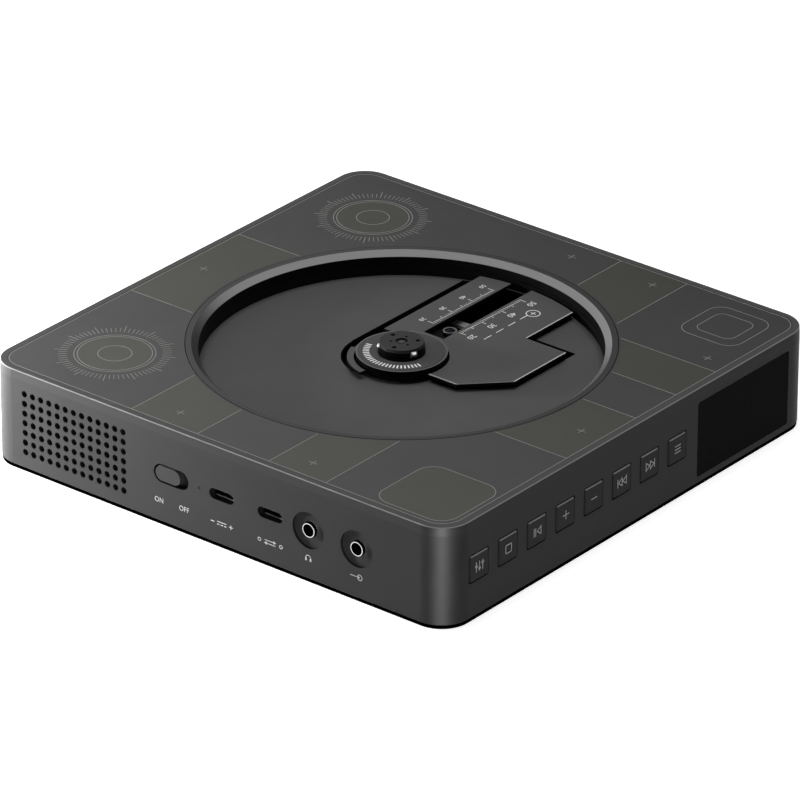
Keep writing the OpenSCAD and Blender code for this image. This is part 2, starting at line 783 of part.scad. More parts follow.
body_shell();
top_panel();
well_ring();
well_tray();
back_cover();
feet();
case_screws();
tray_screws();
key_eq();
key_stop();
key_play();
key_plus();
key_minus();
key_previous();
key_next();
key_menu();
button_board();
tact_switches();
board_screws();
screen_glass();
display_module();
switch_knob();
switch_body();
light_pipe();
usb_power_socket();
usb_data_socket();
usb_tongues();
headphone_jack();
line_jack();
jack_bodies();
io_board();
grille_cloth();
speaker_frame();
speaker_cone();
speaker_magnet();
mech_chassis();
mech_cover();
mech_dampers();
mech_screws();
spindle_motor();
spindle_shaft();
turntable();
turntable_pad();
hub_claw_1();
hub_claw_2();
hub_claw_3();
pickup_sled();
actuator_yoke();
actuator_magnets();
lens_holder();
pickup_lens();
laser_diode();
guide_rods();
lead_screw();
sled_motor();
main_board();
board_chips();
battery();
flat_cables();
board_connectors();
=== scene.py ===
"""Finishes, printed marks, lamps and camera for a wall mounted disc player lying on its back.

The frame's nodes keep their shapes. This file gives each one a finish, adds the thin prints on the
disc face, the mechanism cover, the keys and the sockets, and sets up the stage. Lengths in the
functions are millimetres unless they say otherwise.
"""

import math
from functools import partial, reduce

import bmesh
import bpy
from bpy.props import FloatProperty, FloatVectorProperty, IntProperty, PointerProperty
from mathutils import Matrix, Vector


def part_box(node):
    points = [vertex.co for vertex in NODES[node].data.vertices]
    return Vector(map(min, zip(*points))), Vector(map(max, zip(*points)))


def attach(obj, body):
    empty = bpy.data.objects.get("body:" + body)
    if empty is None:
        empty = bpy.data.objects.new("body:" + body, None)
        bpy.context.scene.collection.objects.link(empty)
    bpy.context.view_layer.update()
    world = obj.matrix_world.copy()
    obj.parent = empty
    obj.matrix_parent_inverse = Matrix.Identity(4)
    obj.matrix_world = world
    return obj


bl_info = {
    "name": "Disc player looks",
    "version": (1, 0, 0),
    "blender": (4, 2, 0),
    "location": "3D View > Sidebar > Player",
    "description": "Dresses a wall mounted disc player and its studio",
    "category": "Object",
}

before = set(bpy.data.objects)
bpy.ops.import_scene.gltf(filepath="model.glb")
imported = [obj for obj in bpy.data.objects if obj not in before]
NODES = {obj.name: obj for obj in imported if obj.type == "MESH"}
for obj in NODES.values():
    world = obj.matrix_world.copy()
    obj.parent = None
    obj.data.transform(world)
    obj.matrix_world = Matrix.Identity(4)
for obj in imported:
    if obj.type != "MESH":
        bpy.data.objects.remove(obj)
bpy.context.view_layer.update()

MM = 0.001
FULL_TURN = 2 * math.pi

# Heights and faces of the case that the prints lie on
CASE_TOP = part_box("top_panel")[1].z / MM
PORT_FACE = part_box("body_shell")[0].y / MM
KEY_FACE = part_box("key_play")[1].x / MM
COVER_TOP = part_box("mech_cover")[1].z / MM
PAD_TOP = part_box("turntable_pad")[1].z / MM
WELL_RING_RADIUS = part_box("well_ring")[1].x / MM
PANEL_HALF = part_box("top_panel")[1].x / MM
CASE_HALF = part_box("body_shell")[1].x / MM
CASE_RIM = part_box("body_shell")[1].z / MM
CORNER_RADIUS = 10
WELL_FLOOR = PAD_TOP - 4.5
BLACK = (0.002, 0.002, 0.002, 1)
STEEL = (0.5, 0.5, 0.51, 1)
ABOVE = ((1, 0, 0), (0, 1, 0))

KEY_NAMES = ("eq", "stop", "play", "plus", "minus", "next", "previous", "menu")
CLAW_NODES = ("hub_claw_1", "hub_claw_2", "hub_claw_3")


def grey(level, warmth=0.0):
    """Linear colour of a grey given as 0 to 255 on screen, a little yellower as warmth grows."""
    def linear(value):
        share = max(value, 0) / 255
        return share / 12.92 if share <= 0.04045 else ((share + 0.055) / 1.055) ** 2.4

    return (linear(level), linear(level), linear(level - warmth), 1.0)


def scaled(colour, factor):
    """The colour made lighter or darker, its alpha kept."""
    return tuple(min(channel * factor, 1.0) for channel in colour[:3]) + (1.0,)


def place_in_scene(name, data):
    """A new object that holds the mesh, curve, light or camera."""
    thing = bpy.data.objects.new(name, data)
    bpy.context.scene.collection.objects.link(thing)
    return thing


# Settings that a user would change


def colour_setting(name, description, default):
    return FloatVectorProperty(
        name=name, description=description, default=default, size=4, min=0, max=1, subtype="COLOR"
    )


def length_setting(name, description, default, low, high, precision=4):
    return FloatProperty(
        name=name, description=description, default=default * MM, min=low * MM, max=high * MM,
        precision=precision, unit="LENGTH",
    )


def power_setting(name, description, default):
    return FloatProperty(
        name=name, description=description, default=default, min=0, unit="POWER"
    )


class PlayerCaseSettings(bpy.types.PropertyGroup):
    """Colours and grain of the case, the panel and the well."""

    case_colour: colour_setting("Case", "Moulded case and its rim", grey(74))
    # Painted highlight: the pale colour laid on the case's top edge
    edge_highlight_colour: colour_setting("Edge", "Painted highlight on the top edge of the case", grey(142))
    panel_colour: colour_setting("Panel", "Plain ground of the disc face", grey(79))
    tint_colour: colour_setting("Panel tint", "Warmer fields printed on the disc face", grey(83, 4))
    tray_colour: colour_setting("Well", "Floor of the well and mechanism cover", grey(80))
    line_colour: colour_setting("Lines", "Fine printed lines on the disc face", grey(134, 4))
    grain_size: length_setting("Grain", "Size of the moulded texture", 0.22, 0.1, 2, 5)
    line_width: length_setting("Line width", "Width of the printed lines", 0.24, 0.1, 1, 5)
    dial_radius: length_setting("Dial radius", "Radius of the two printed dials", 17.5, 10, 20)
    dial_ticks: IntProperty(
        name="Dial ticks", description="Ticks round each printed dial", default=72, min=12, max=120
    )


class PlayerDetailSettings(bpy.types.PropertyGroup):
    """Colours of the keys, sockets and mechanism."""

    key_colour: colour_setting("Keys", "Key caps", grey(68))
    sign_colour: colour_setting("Signs", "Printed signs and words", grey(235))
    metal_colour: colour_setting("Metal", "Rims and pins", (0.62, 0.62, 0.63, 1))
    ring_colour: colour_setting("Well ring", "Turned metal ring of the well", grey(127))
    screen_colour: colour_setting("Screen", "Smoked glass", grey(6))
    word_height: length_setting("Word height", "Height of the capitals by the sockets", 1.8, 1, 4)
    strobe_ticks: IntProperty(
        name="Strobe ticks", description="Ticks round the turntable", default=60, min=12, max=120
    )


class PlayerStageSettings(bpy.types.PropertyGroup):
    """Lamps, room light and camera."""

    daylight: FloatProperty(
        name="Daylight", description="Strength of the wide light above", default=2.05, min=0
    )
    side_power: power_setting("Side", "Power of the lamp by the sockets", 1.7)
    key_power: power_setting("Key side", "Power of the lamp by the keys", 0.2)
    corner_power: power_setting("Corner", "Power of the highlight on the front corner", 50)
    surround: FloatProperty(
        name="Surround", description="Light from the room", default=0.06, min=0, max=2,
        subtype="FACTOR",
    )
    focal_length: FloatProperty(
        name="Lens", description="Focal length on a 36 mm sensor", default=327.45, min=50,
        max=1000, unit="CAMERA",
    )


# Finishes


class Finish:
    """A material being built round one principled shader, on the object's own coordinates."""

    def __init__(self, name, colour, roughness, metallic=0.0, specular=0.5):
        self.material = bpy.data.materials.new(name)
        self.material.use_nodes = True
        self.material.diffuse_color = colour
        self.tree = self.material.node_tree
        self.tree.nodes.clear()
        self.shader = self.add("ShaderNodeBsdfPrincipled")
        output = self.add("ShaderNodeOutputMaterial")
        self.tree.links.new(self.shader.outputs["BSDF"], output.inputs["Surface"])
        self.colour = colour
        self.set("Base Color", colour)
        self.set("Roughness", roughness)
        self.set("Metallic", metallic)
        self.set("Specular IOR Level", specular)
        self.place = self.add("ShaderNodeTexCoord").outputs["Object"]

    def add(self, kind, **settings):
        node = self.tree.nodes.new(kind)
        for key, value in settings.items():
            setattr(node, key, value)
        return node

    def feed(self, socket, value):
        if isinstance(value, bpy.types.NodeSocket):
            self.tree.links.new(value, socket)
        else:
            socket.default_value = value

    def set(self, name, value):
        self.feed(self.shader.inputs[name], value)

    def wired(self, kind, output, inputs, **settings):
        """One output of a new node, whose inputs are fed by name or number."""
        node = self.add(kind, **settings)
        for socket, value in inputs.items():
            self.feed(node.inputs[socket], value)
        return node.outputs[output]

    def mottle(self, signal, dark, pale):
        """The finish's colour times dark where the signal is 0, and times pale where it is 1."""
        shades = scaled(self.colour, dark), scaled(self.colour, pale)
        self.set("Base Color", self.mixed(signal, *shades))

    def rough(self, signal, low, high, *signal_range):
        self.set("Roughness", self.between(signal, low, high, *signal_range))

    def sum(self, operation, first, second=0.0, clamp=False):
        terms = {0: first, 1: second}
        return self.wired("ShaderNodeMath", 0, terms, operation=operation, use_clamp=clamp)

    def stretched(self, x, y, z):
        """The object's coordinates, each axis scaled by itself."""
        scale = {"Vector": self.place, "Scale": (x, y, z)}
        return self.wired("ShaderNodeMapping", "Vector", scale)

    def parts(self):
        node = self.add("ShaderNodeSeparateXYZ")
        self.feed(node.inputs[0], self.place)
        return node.outputs

    def noise(self, size, detail=3.0, vector=None):
        """Noise whose blotches are about size millimetres across."""
        inputs = {"Vector": vector or self.place, "Scale": 1 / (size * MM), "Detail": detail}
        return self.wired("ShaderNodeTexNoise", "Fac", inputs)

    def between(self, value, low, high, from_low=0.0, from_high=1.0):
        """The value mapped onto the range from low to high."""
        ends = {"From Min": from_low, "From Max": from_high, "To Min": low, "To Max": high}
        return self.wired("ShaderNodeMapRange", "Result", {"Value": value, **ends})

    def mixed(self, amount, first, second):
        inputs = {"Factor": amount, 6: first, 7: second}
        return self.wired("ShaderNodeMix", 2, inputs, data_type="RGBA")

    def greater(self, value, limit):
        """1 where the value is above the limit, in millimetres."""
        return self.sum("GREATER_THAN", value, limit * MM)

    def less(self, value, limit):
        return self.sum("LESS_THAN", value, limit * MM)

    def both(self, *masks):
        return reduce(partial(self.sum, "MULTIPLY"), masks)

    def either(self, *masks):
        return reduce(partial(self.sum, "MAXIMUM"), masks)

    def paint(self, mask, colour):
        """Lays a colour over the base colour where the mask is 1."""
        under = self.shader.inputs["Base Color"].links[0].from_socket
        self.set("Base Color", self.mixed(mask, under, colour))

    def beyond(self, axis, limit):
        """1 where the place lies past a limit along an axis, 0 for X to 2 for Z."""
        return self.greater(self.parts()[axis], limit)

    def long_side(self, x, y):
        """The long side of a right triangle."""
        squares = [self.sum("MULTIPLY", side, side) for side in (x, y)]
        return self.sum("SQRT", self.sum("ADD", *squares))

    def radius(self):
        return self.long_side(*self.parts()[:2])

    def depth_inside(self, half, corner):
        """How far a place lies inside a square with round corners, seen from above."""
        past = []
        for axis in self.parts()[:2]:
            reach = self.sum("SUBTRACT", self.sum("ABSOLUTE", axis), (half - corner) * MM)
            past.append(self.sum("MAXIMUM", reach, 0.0))
        return self.sum("SUBTRACT", corner * MM, self.long_side(*past))

    def steep(self, axis):
        """1 on faces that run along the axis instead of across it."""
        normal = self.wired("ShaderNodeNewGeometry", "True Normal", {})
        along = self.wired("ShaderNodeSeparateXYZ", axis, {0: normal})
        return self.sum("LESS_THAN", self.sum("ABSOLUTE", along), 0.5)

    def bump(self, height, depth):
        """Raises the surface by the height signal, depth millimetres from black to white."""
        inputs = {"Strength": 1.0, "Distance": depth * MM, "Height": height}
        self.set("Normal", self.wired("ShaderNodeBump", "Normal", inputs))

    def polar(self, around, along):
        """Coordinates round the Z axis: radius and height scaled by around, angle by along."""
        x, y, z = self.parts()
        radius = self.radius()
        pairs = ((radius, around), (self.sum("ARCTAN2", y, x), along), (z, around))
        inputs = {i: self.sum("MULTIPLY", *pair) for i, pair in enumerate(pairs)}
        return radius, self.wired("ShaderNodeCombineXYZ", 0, inputs)


def moulded(name, colour, roughness=0.5, grain=0.22, depth=0.006, specular=0.08):
    """Moulded plastic: fine grain, faint mottling and uneven gloss where it is handled."""
    finish = Finish(name, colour, roughness, specular=specular)
    finish.mottle(finish.noise(19, 4), 0.93, 1.07)
    handled = finish.sum("ADD", finish.noise(8, 6), finish.sum("MULTIPLY", finish.noise(1.4), 0.4))
    finish.rough(handled, roughness - 0.06, roughness + 0.06, 0.35, 1.05)
    finish.bump(finish.noise(grain, 2), depth)
    return finish


def brushed(name, colour, along="X", roughness=0.34, line=0.18):
    """Plated or rolled metal with fine lines that run along one axis."""
    finish = Finish(name, colour, roughness, metallic=1.0)
    scale = [1.0, 1.0, 1.0]
    scale["XYZ".index(along)] = 0.03
    streaks = finish.noise(line, 3, finish.stretched(*scale))
    finish.mottle(finish.noise(6, 5), 0.84, 1.05)
    finish.rough(streaks, roughness - 0.08, roughness + 0.12)
    finish.bump(streaks, 0.004)
    return finish


def polished(name, colour, roughness=0.12):
    """Polished metal with hairline scratches and a little tarnish."""
    finish = Finish(name, colour, roughness, metallic=1.0)
    finish.mottle(finish.noise(2.5, 5), 0.85, 1)
    scratches = finish.noise(0.12, 2, finish.stretched(1, 0.06, 1))
    finish.rough(scratches, roughness * 0.6, roughness * 1.8, 0.3, 0.7)
    finish.bump(scratches, 0.0015)
    return finish


def rubber(name, colour):
    """Matt rubber with a powdery bloom."""
    finish = Finish(name, colour, 0.8, specular=0.25)
    bloom = finish.noise(3, 5)
    finish.mottle(bloom, 0.8, 1.25)
    finish.rough(bloom, 0.7, 0.9)
    finish.bump(finish.noise(0.3), 0.01)
    return finish


def circuit_board(name):
    """Green solder mask over copper tracks."""
    finish = Finish(name, (0.01, 0.09, 0.035, 1), 0.35, specular=0.5)
    edges = finish.wired(
        "ShaderNodeTexVoronoi", "Distance", {"Vector": finish.place, "Scale": 260},
        feature="DISTANCE_TO_EDGE", distance="MINKOWSKI",
    )
    tracks = finish.between(edges, 1, 0, 0.03, 0.06)
    finish.set("Base Color", finish.mixed(tracks, (0.008, 0.07, 0.028, 1), (0.02, 0.16, 0.06, 1)))
    finish.rough(finish.noise(5, 4), 0.28, 0.45)
    finish.bump(tracks, 0.02)
    return finish


def printed(name, colour, roughness=0.55):
    """Screen printed ink, thin and a little uneven."""
    finish = Finish(name, colour, roughness, specular=0.3)
    cover = finish.noise(0.5, 4)
    finish.mottle(cover, 0.82, 1.06)
    finish.rough(cover, roughness - 0.08, roughness + 0.1)
    finish.bump(finish.noise(0.15), 0.002)
    return finish


def dress(finish, *names):
    """Gives the nodes this one finish."""
    for name in names:
        slots = NODES[name].data.materials
        slots.clear()
        slots.append(finish.material)


# Prints


class Print:
    """Ink shapes drawn on a flat face, given by a point on it and its right and up directions."""

    RISE = 0.02
    ROOT = 0.02
    STEP = 0.0006
    STEPS = 11

    def __init__(self, origin, right, up):
        self.origin, self.right, self.up = Vector(origin), Vector(right), Vector(up)
        self.out = self.right.cross(self.up)
        self.shapes = []

    def polygon(self, corners):
        self.shapes.append((list(corners), [list(range(len(corners)))]))

    def band(self, one_side, other_side):
        """A strip of quads between two rows of points."""
        count = len(one_side)
        faces = [[i, i + 1, i + 1 + count, i + count] for i in range(count - 1)]
        self.shapes.append((list(one_side) + list(other_side), faces))

    def bar(self, u, v, width, height, angle=0.0):
        """A rectangle about its centre, turned by an angle in radians."""
        c, s = math.cos(angle), math.sin(angle)
        offsets = ((-1, -1), (1, -1), (1, 1), (-1, 1))
        points = [(a * width / 2, b * height / 2) for a, b in offsets]
        self.polygon([(u + x * c - y * s, v + x * s + y * c) for x, y in points])

    def line(self, points, width, closed=False):
        """A ribbon with mitred corners."""
        if closed:
            points = [points[-1]] + list(points) + [points[0]]
        steps = [Vector(b) - Vector(a) for a, b in zip(points, points[1:])]
        sides = [Vector((-step.y, step.x)).normalized() for step in steps]
        left, right = [], []
        first, last = (1, len(points) - 1) if closed else (0, len(points))
        for i in range(first, last):
            before, after = sides[max(i - 1, 0)], sides[min(i, len(sides) - 1)]
            mitre = (before + after).normalized()
            reach = width / 2 / max(mitre.dot(after), 0.4)
            left.append(tuple(Vector(points[i]) + mitre * reach))
            right.append(tuple(Vector(points[i]) - mitre * reach))
        if closed:
            left.append(left[0])
            right.append(right[0])
        self.band(left, right)

    def arc(self, u, v, radius, width, start=0.0, end=FULL_TURN, steps=48):
        angles = [start + (end - start) * i / steps for i in range(steps + 1)]
        inner, outer = radius - width / 2, radius + width / 2
        self.band(
            [(u + outer * math.cos(a), v + outer * math.sin(a)) for a in angles],
            [(u + inner * math.cos(a), v + inner * math.sin(a)) for a in angles],
        )

    def ticks(self, u, v, radius, length, width, count, start=0.0, end=FULL_TURN):
        """Radial ticks whose outer ends lie on the radius."""
        for i in range(count):
            angle = start + (end - start) * i / count
            middle = radius - length / 2
            across, up = middle * math.cos(angle), middle * math.sin(angle)
            self.bar(u + across, v + up, length, width, angle)

    def words(self, text, height, u, v, narrow=1.0, weight=0.0):
        """Letters of that capital height, centred on the point, their width scaled by narrow."""
        curve = bpy.data.curves.new(text, "FONT")
        curve.body = text
        curve.size = height / 0.72
        curve.offset = weight
        curve.space_character = 1.05
        curve.align_x, curve.align_y = "CENTER", "CENTER"
        holder = place_in_scene(text, curve)
        bpy.context.view_layer.update()
        mesh = bpy.data.meshes.new_from_object(
            holder.evaluated_get(bpy.context.evaluated_depsgraph_get())
        )
        self.shapes.append((
            [(u + vertex.co.x * narrow, v + vertex.co.y) for vertex in mesh.vertices],
            [list(polygon.vertices) for polygon in mesh.polygons],
        ))
        bpy.data.objects.remove(holder)
        bpy.data.curves.remove(curve)
        bpy.data.meshes.remove(mesh)

    def piece(self, name, finish, body, slot, rise=RISE):
        """The ink as one mesh, rooted just under the face and riding on its body.

        Shapes drawn one after another differ a little in height, so that crossings stay clean.
        """
        sheet = bmesh.new()
        sunk = self.origin - self.out * self.ROOT
        for number, (corners, faces) in enumerate(self.shapes):
            places = [(sunk + self.right * u + self.up * v) * MM for u, v in corners]
            vertices = [sheet.verts.new(place) for place in places]
            drawn = [sheet.faces.new([vertices[i] for i in face]) for face in faces]
            for face in drawn:
                face.normal_update()
                if face.normal.dot(self.out) < 0:
                    face.normal_flip()
            raised = bmesh.ops.extrude_face_region(sheet, geom=drawn)
            lift = self.out * ((self.ROOT + rise + number % self.STEPS * self.STEP) * MM)
            tops = [g for g in raised["geom"] if isinstance(g, bmesh.types.BMVert)]
            bmesh.ops.translate(sheet, vec=lift, verts=tops)
        mesh = bpy.data.meshes.new(name)
        sheet.to_mesh(mesh)
        sheet.free()
        mesh.materials.append(finish.material)
        piece = place_in_scene(name, mesh)
        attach(piece, body)
        return piece


def rounded(u0, u1, v0, v1, radius, steps=8):
    """Corner points of a rectangle with round corners."""
    points = []
    middles = ((u1, v1, 0), (u0, v1, 1), (u0, v0, 2), (u1, v0, 3))
    for u, v, quarter in middles:
        inward_u = u - math.copysign(radius, u - (u0 + u1) / 2)
        inward_v = v - math.copysign(radius, v - (v0 + v1) / 2)
        for i in range(steps + 1):
            angle = (quarter + i / steps) * math.pi / 2
            across, up = radius * math.cos(angle), radius * math.sin(angle)
            points.append((inward_u + across, inward_v + up))
    return points


# Operators


class PlayerPiece:
    """What the operators share."""

    bl_options = {"REGISTER", "UNDO"}


class PLAYER_OT_case(PlayerPiece, bpy.types.Operator):
    """Dress the moulded case, its back, feet and screws"""

    bl_idname = "player.case"
    bl_label = "Case"

    # The two dishes in the socket side: start and end, depth, and grey of the wall's painted shade
    DISHES = (31, 62.5)
    DISH_DEPTH = 1.15
    DISH_WALL_SHADE = 20
    # How far under the rim and how far in from the side each zone reaches
    # Painted shade: black in the cuts and on hidden faces
    CUTS = (3.3, 0.13)
    HIDDEN = (0.03, 2.34)
    # Painted light: the band a little lighter and the top edge pale as a highlight
    BAND = (2.9, 0.35)
    EDGE = (0.27, 0.33)

    def execute(self, context):
        settings = context.scene.player_case
        dress(self.case_plastic(settings), "body_shell")
        back = moulded("back plastic", grey(34), 0.62, grain=0.6, depth=0.03, specular=0.3)
        dress(back, "back_cover")
        dress(rubber("foot rubber", grey(24)), "feet", "mech_dampers")
        screws = ("case_screws", "tray_screws", "board_screws", "mech_screws")
        dress(brushed("dark plated steel", (0.22, 0.22, 0.23, 1), "Z", 0.3), *screws)
        return {"FINISHED"}

    def case_plastic(self, settings):
        """The moulded case: painted shade in black where cut or hidden, painted light along its
        top.
        """
        case = moulded(
            "case plastic", settings.case_colour, grain=settings.grain_size / MM, specular=0.05
        )
        x, y, z = case.parts()
        depth = case.depth_inside(CASE_HALF, CORNER_RADIUS)
        under, skin = self.CUTS
        lower, inside = case.less(z, CASE_RIM - under), case.greater(depth, skin)
        start, end = self.DISHES
        dish = case.both(case.greater(x, start), case.less(x, end), case.less(y, 0))
        cut = case.both(inside, lower, case.sum("SUBTRACT", 1.0, dish))
        deep = case.both(case.greater(depth, self.DISH_DEPTH), lower)
        under, skin = self.HIDDEN
        hidden = case.both(case.greater(depth, skin), case.less(z, CASE_RIM - under))
        # Painted light: a lighter band under the rim, and a painted highlight on the top edge
        pale = scaled(settings.case_colour, 1.14)
        for (under, skin), colour in ((self.BAND, pale), (self.EDGE, settings.edge_highlight_colour)):
            zone = case.both(case.greater(z, CASE_RIM - under), case.less(depth, skin))
            case.paint(zone, colour)
        # Painted shade: black in the cuts, deep in the dishes and on hidden faces
        case.paint(case.either(cut, deep, hidden), BLACK)
        # Painted shade on the upright walls of the dishes
        case.paint(case.both(dish, case.steep(1), inside, lower), grey(self.DISH_WALL_SHADE))
        return case


class PLAYER_OT_panel(PlayerPiece, bpy.types.Operator):
    """Dress the inlaid panel and print its fields, lines and dials"""

    bl_idname = "player.panel"
    bl_label = "Disc face"

    WELL_EDGE = WELL_RING_RADIUS + 0.9
    BORDER = PANEL_HALF - 0.35
    BORDER_CORNER = 7.2
    # How much darker the panel is made in the middle, and how that grows per metre along X and Y
    SHADE = (0.2, 0.6, 1.75)
    # Tinted fields: side, in quarter turns from the sockets, start and end
    FIELDS = ((0, -34, -8), (0, 20, 42), (1, -30, 4), (1, 24, 44), (2, -44, -18), (3, -26, 26))
    CORNER_FIELD = 58
    CORNER_INSET = 1.6
    # Nested squares: start, end and corner radius
    SQUARES = ((60, 82, 5), (64, 78, 3))
    CROSSES = ((-21, -80), (31, -80), (80, -13), (80, 50), (36, 80), (-80, 0), (4, 80))
    CROSS_SIZE = 3.2
    DIAL_PLACES = ((-62.5, -62.5), (-62.5, 62.5))
    # Shares of the dial's radius: tinted ground, rings, long and short ticks
    DIAL_GROUND = (0.66, 0.02)
    DIAL_RINGS = (0.72, 0.66, 0.3)
    DIAL_TICKS = (0.24, 0.16)
    LONG_TICK_EVERY = 6

    def shade(self, finish):
        """Darker from the near left corner to the far right one."""
        x, y, _ = finish.parts()
        level, across, away = self.SHADE
        x, y = finish.sum("MULTIPLY", x, across), finish.sum("MULTIPLY", y, away)
        finish.paint(finish.sum("ADD", finish.sum("ADD", x, y), level, clamp=True), BLACK)

    def reach(self, along):
        """Distance from the middle to the well's edge, at that place along a side."""
        return math.sqrt(max(self.WELL_EDGE**2 - along**2, 0))

    def turned(self, side, points):
        """Points drawn for the socket side, moved to another side in quarter turns."""
        c, s = ((1, 0), (0, 1), (-1, 0), (0, -1))[side]
        return [(u * c - v * s, u * s + v * c) for u, v in points]

    def field(self, sheet, side, start, end, steps=24):
        """A tinted field between the border and the well."""
        places = [start + (end - start) * i / steps for i in range(steps + 1)]
        outer = [(u, -self.BORDER) for u in places]
        inner = [(u, -self.reach(u)) for u in places]
        sheet.band(self.turned(side, outer), self.turned(side, inner))

    def edge_line(self, sheet, side, along, width):
        """A line from the border to the well."""
        points = [(along, -self.BORDER), (along, -self.reach(along))]
        sheet.line(self.turned(side, points), width)

    def execute(self, context):
        settings = context.scene.player_case
        satin = {"roughness": 0.55, "grain": 0.16, "depth": 0.003, "specular": 0.06}
        panel = moulded("panel plastic", settings.panel_colour, **satin)
        tint = moulded("panel tint", settings.tint_colour, **satin)
        for finish in (panel, tint):
            self.shade(finish)
        dress(panel, "top_panel")
        width = settings.line_width / MM

        tinted, lines = (Print((0, 0, CASE_TOP), *ABOVE) for _ in range(2))
        for side, start, end in self.FIELDS:
            self.field(tinted, side, start, end)
            self.edge_line(lines, side, start, width)
            self.edge_line(lines, side, end, width)
        near, far = self.CORNER_FIELD, self.BORDER - self.CORNER_INSET
        corner = rounded(near, far, -far, -near, 6)
        tinted.polygon(corner)
        lines.line(corner, width, closed=True)
        for start, end, radius in ((-self.BORDER, self.BORDER, self.BORDER_CORNER), *self.SQUARES):
            lines.line(rounded(start, end, start, end, radius), width, closed=True)
        self.dials(tinted, lines, settings)
        for u, v in self.CROSSES:
            lines.bar(u, v, self.CROSS_SIZE, width)
            lines.bar(u, v, width, self.CROSS_SIZE)
        tinted.piece("panel_fields", tint, "case", "panel", rise=0.008)
        ink = printed("fine line ink", settings.line_colour)
        lines.piece("panel_lines", ink, "case", "panel")
        return {"FINISHED"}

    def dials(self, tinted, lines, settings):
        """Two scale dials with long and short ticks."""
        radius = settings.dial_radius / MM
        width = settings.line_width / MM
        outer, inner = self.DIAL_GROUND
        long_tick, short_tick = self.DIAL_TICKS
        for u, v in self.DIAL_PLACES:
            tinted.arc(u, v, radius * (outer + inner) / 2, radius * (outer - inner))
            for i in range(settings.dial_ticks):
                angle = i * FULL_TURN / settings.dial_ticks
                if i % self.LONG_TICK_EVERY:
                    lines.ticks(u, v, radius, radius * short_tick, width * 0.8, 1, angle)
                else:
                    lines.ticks(u, v, radius + 1.4, radius * long_tick, width, 1, angle)
            for share in self.DIAL_RINGS:
                lines.arc(u, v, radius * share, width)


class PLAYER_OT_well(PlayerPiece, bpy.types.Operator):
    """Dress the metal ring and the floor of the well, with painted shade by its wall"""

    bl_idname = "player.well"
    bl_label = "Disc well"

    RIM_RADIUS = 64.7
    WALL_RADIUS = 62.6
    SHADE_START = 60.5
    SHADE_DEPTH = 0.2
    FLOOR_STEP = 0.08

    def execute(self, context):
        settings = context.scene.player_case
        metal = context.scene.player_details.ring_colour
        ring = Finish("turned ring", metal, 0.3)
        radius, swept = ring.polar(1.0, 0.0004)
        streaks = ring.noise(0.12, 3, swept)
        rim = ring.greater(radius, self.RIM_RADIUS)
        bare = ring.mixed(streaks, scaled(metal, 0.85), scaled(metal, 1.1))
        ring.set("Base Color", ring.mixed(rim, bare, grey(58)))
        ring.set("Metallic", ring.between(rim, 1, 0))
        ring.set("Specular IOR Level", 0.06)
        ring.rough(streaks, 0.27, 0.42)
        ring.bump(streaks, 0.003)
        dress(ring, "well_ring")
        tray = moulded(
            "well plastic", settings.tray_colour, 0.55, grain=0.2, depth=0.004, specular=0.06
        )
        radius, height = tray.radius(), tray.parts()[2]
        # Painted shade: the floor darkens towards the wall
        start, end = self.SHADE_START * MM, self.WALL_RADIUS * MM
        tray.paint(tray.between(radius, 0, self.SHADE_DEPTH, start, end), BLACK)
        # Painted shade: the wall and everything under the floor black
        wall = tray.greater(radius, self.WALL_RADIUS)
        tray.paint(tray.either(wall, tray.less(height, WELL_FLOOR - self.FLOOR_STEP)), BLACK)
        dress(tray, "well_tray")
        return {"FINISHED"}


